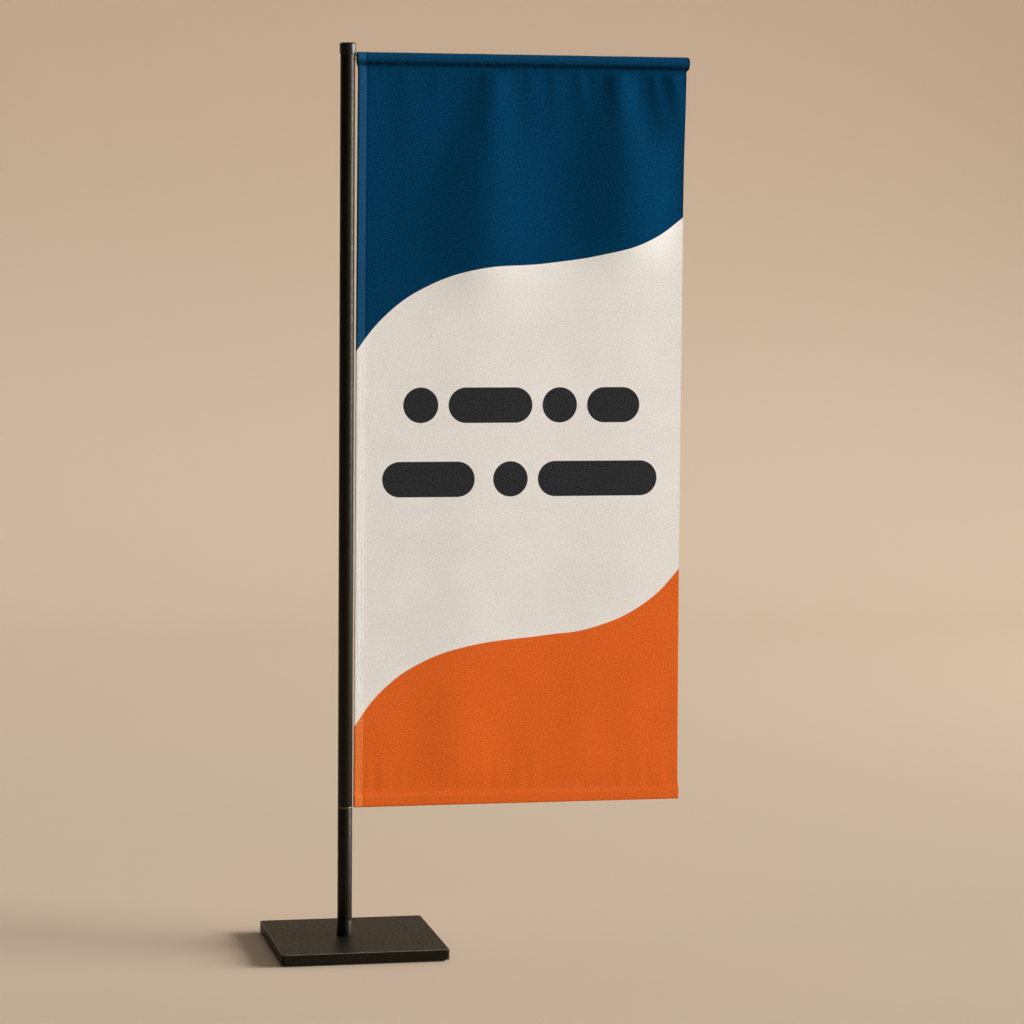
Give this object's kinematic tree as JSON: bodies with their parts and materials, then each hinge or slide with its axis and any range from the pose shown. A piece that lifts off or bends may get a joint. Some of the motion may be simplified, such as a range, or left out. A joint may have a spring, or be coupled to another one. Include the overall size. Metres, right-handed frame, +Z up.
{
  "type": "desk flag stand",
  "caption": "Table-top banner stand: square weighted foot, slim jointed mast with cap, and a narrow cloth banner hung by a top sleeve from a short arm.",
  "frame": {"origin": "where the mast's axis meets the surface that the stand rests on", "axes": "+Z up along the mast, +X along the arm towards its free end, and the banner's printed face looks to -Y"},
  "size_m": [0.2015, 0.08, 0.432],
  "materials": {
    "plate_coat": "satin",
    "mast_coat": "satin",
    "cap_plastic": "satin",
    "pad_foam": "matte",
    "zinc_steel": "satin",
    "bare_steel": "satin",
    "plain_aluminium": "satin",
    "end_cap_vinyl": "matte",
    "cloth_blue": "matte",
    "cloth_print": "matte",
    "cloth_orange": "matte"
  },
  "bodies": {
    "stand": {"base_plate": "plate_coat", "non_slip_pad": "pad_foam", "base_screw": "zinc_steel", "foot_insert": "plain_aluminium", "foot_collar": "mast_coat", "lower_pole": "mast_coat"},
    "joint_pin": {"coupling_pin": "bare_steel"},
    "mast": {"upper_pole": "mast_coat", "arm_block": "plain_aluminium", "top_cap": "cap_plastic"},
    "arm": {"banner_arm": "bare_steel", "arm_end_cap": "end_cap_vinyl"},
    "banner": {"top_sleeve": "cloth_blue", "banner_panel": "cloth_print", "left_hem": "cloth_print", "bottom_hem": "cloth_orange", "hem_bar": "zinc_steel"}
  },
  "joints": [
    {"name": "mast_swivel", "type": "hinge", "parent": "stand", "child": "joint_pin", "pos_m": [0, 0, 0.0679], "axis": [0, 0, 1], "continuous": true},
    {"name": "mast_lift", "type": "slide", "parent": "joint_pin", "child": "mast", "axis": [0, 0, 1], "range_m": [0, 0.024]},
    {"name": "banner_swing", "type": "hinge", "parent": "mast", "child": "arm", "pos_m": [0, 0, 0.42525], "axis": [1, 0, 0], "range_deg": [-90, 90]},
    {"name": "banner_slide", "type": "slide", "parent": "arm", "child": "banner", "axis": [1, 0, 0], "range_m": [0, 0.155]}
  ]
}
